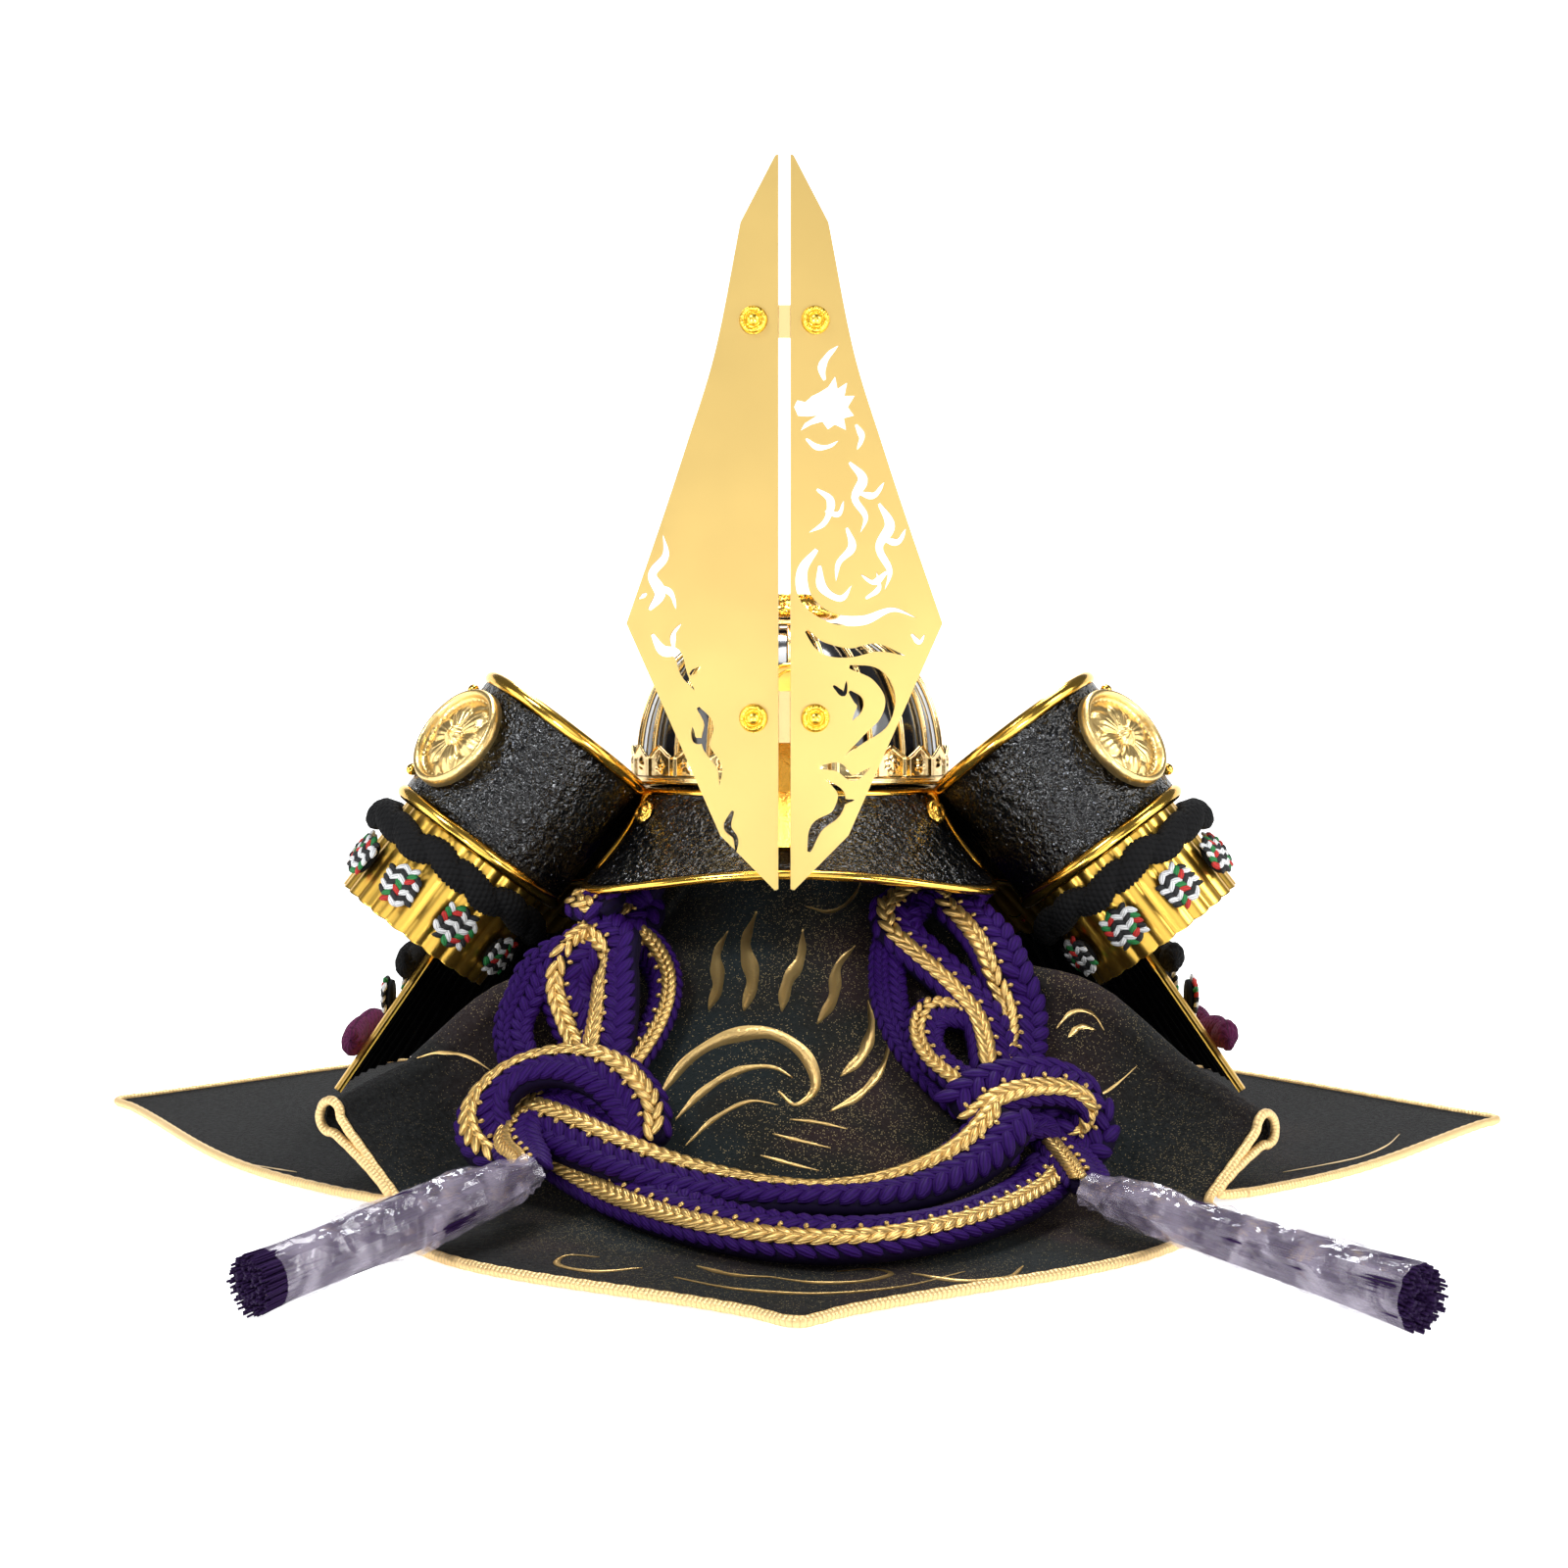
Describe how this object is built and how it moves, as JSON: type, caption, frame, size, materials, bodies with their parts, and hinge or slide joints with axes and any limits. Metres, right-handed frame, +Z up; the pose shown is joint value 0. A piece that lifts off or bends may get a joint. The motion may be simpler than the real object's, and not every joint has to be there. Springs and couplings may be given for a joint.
{
  "type": "samurai helmet on a cloth-draped stand",
  "caption": "Kabuto helmet: ribbed black bowl, gilt neck guard with turn-backs, tall pierced two-plate crest and a knotted chin cord with tassels, on a post under a black cloth.",
  "frame": {"origin": "bottom centre of the helmet, its stand and the cloth, on the surface it stands on", "axes": "+Z up, -Y towards the wearer's front, +X to the right of someone who looks at the front"},
  "size_m": [0.5964, 0.6247, 0.3746],
  "materials": {
    "wood": "satin",
    "black_cloth": "matte with a fine gold speckle",
    "gold_piping": "satin",
    "black_lacquer": "gloss lacquer",
    "gilt": "bright gilt",
    "pale_gilt": "satin pale gilt",
    "leather": "grained black leather",
    "black_yarn": "twisted yarn",
    "mixed_braid": "flat braid of several colours",
    "purple_yarn": "twisted yarn",
    "violet_cord": "violet and gold braid",
    "film": "thin clear film"
  },
  "bodies": {
    "root": {"base_ring": "gilt", "bowl": "black_lacquer", "bowl_ribs": "gilt", "cloth": "black_cloth", "cloth_piping": "gold_piping", "cord_behind": "violet_cord", "crest_bridge_lower": "gilt", "crest_bridge_upper": "gilt", "crest_holder": "gilt", "crest_left": "pale_gilt", "crest_right": "pale_gilt", "crest_rivet_lower_left": "gilt", "crest_rivet_lower_right": "gilt", "crest_rivet_upper_left": "gilt", "crest_rivet_upper_right": "gilt", "crown_band": "gilt", "film_left": "film", "film_right": "film", "finial": "gilt", "front_plate": "pale_gilt", "knot_left": "violet_cord", "knot_right": "violet_cord", "lame_1": "leather", "lame_1_rim": "gilt", "lame_2": "gilt", "lame_3": "gilt", "medallion_left": "gilt", "medallion_right": "gilt", "purple_yarn_3": "purple_yarn", "stand": "wood", "stud_lower_left": "gilt", "stud_lower_right": "gilt", "stud_upper_left": "gilt", "stud_upper_right": "gilt", "swag_lower": "violet_cord", "swag_upper": "violet_cord", "tassel_cord_left": "violet_cord", "tassel_cord_right": "violet_cord", "tassel_left": "violet_cord", "tassel_right": "violet_cord", "ties_2_back": "mixed_braid", "ties_2_left": "mixed_braid", "ties_2_right": "mixed_braid", "ties_3": "mixed_braid", "visor": "leather", "visor_rim": "gilt", "visor_rivet_left": "gilt", "visor_rivet_right": "gilt", "yarn_2_back": "black_yarn", "yarn_2_left": "black_yarn", "yarn_2_right": "black_yarn", "yarn_3": "black_yarn"}
  },
  "joints": []
}
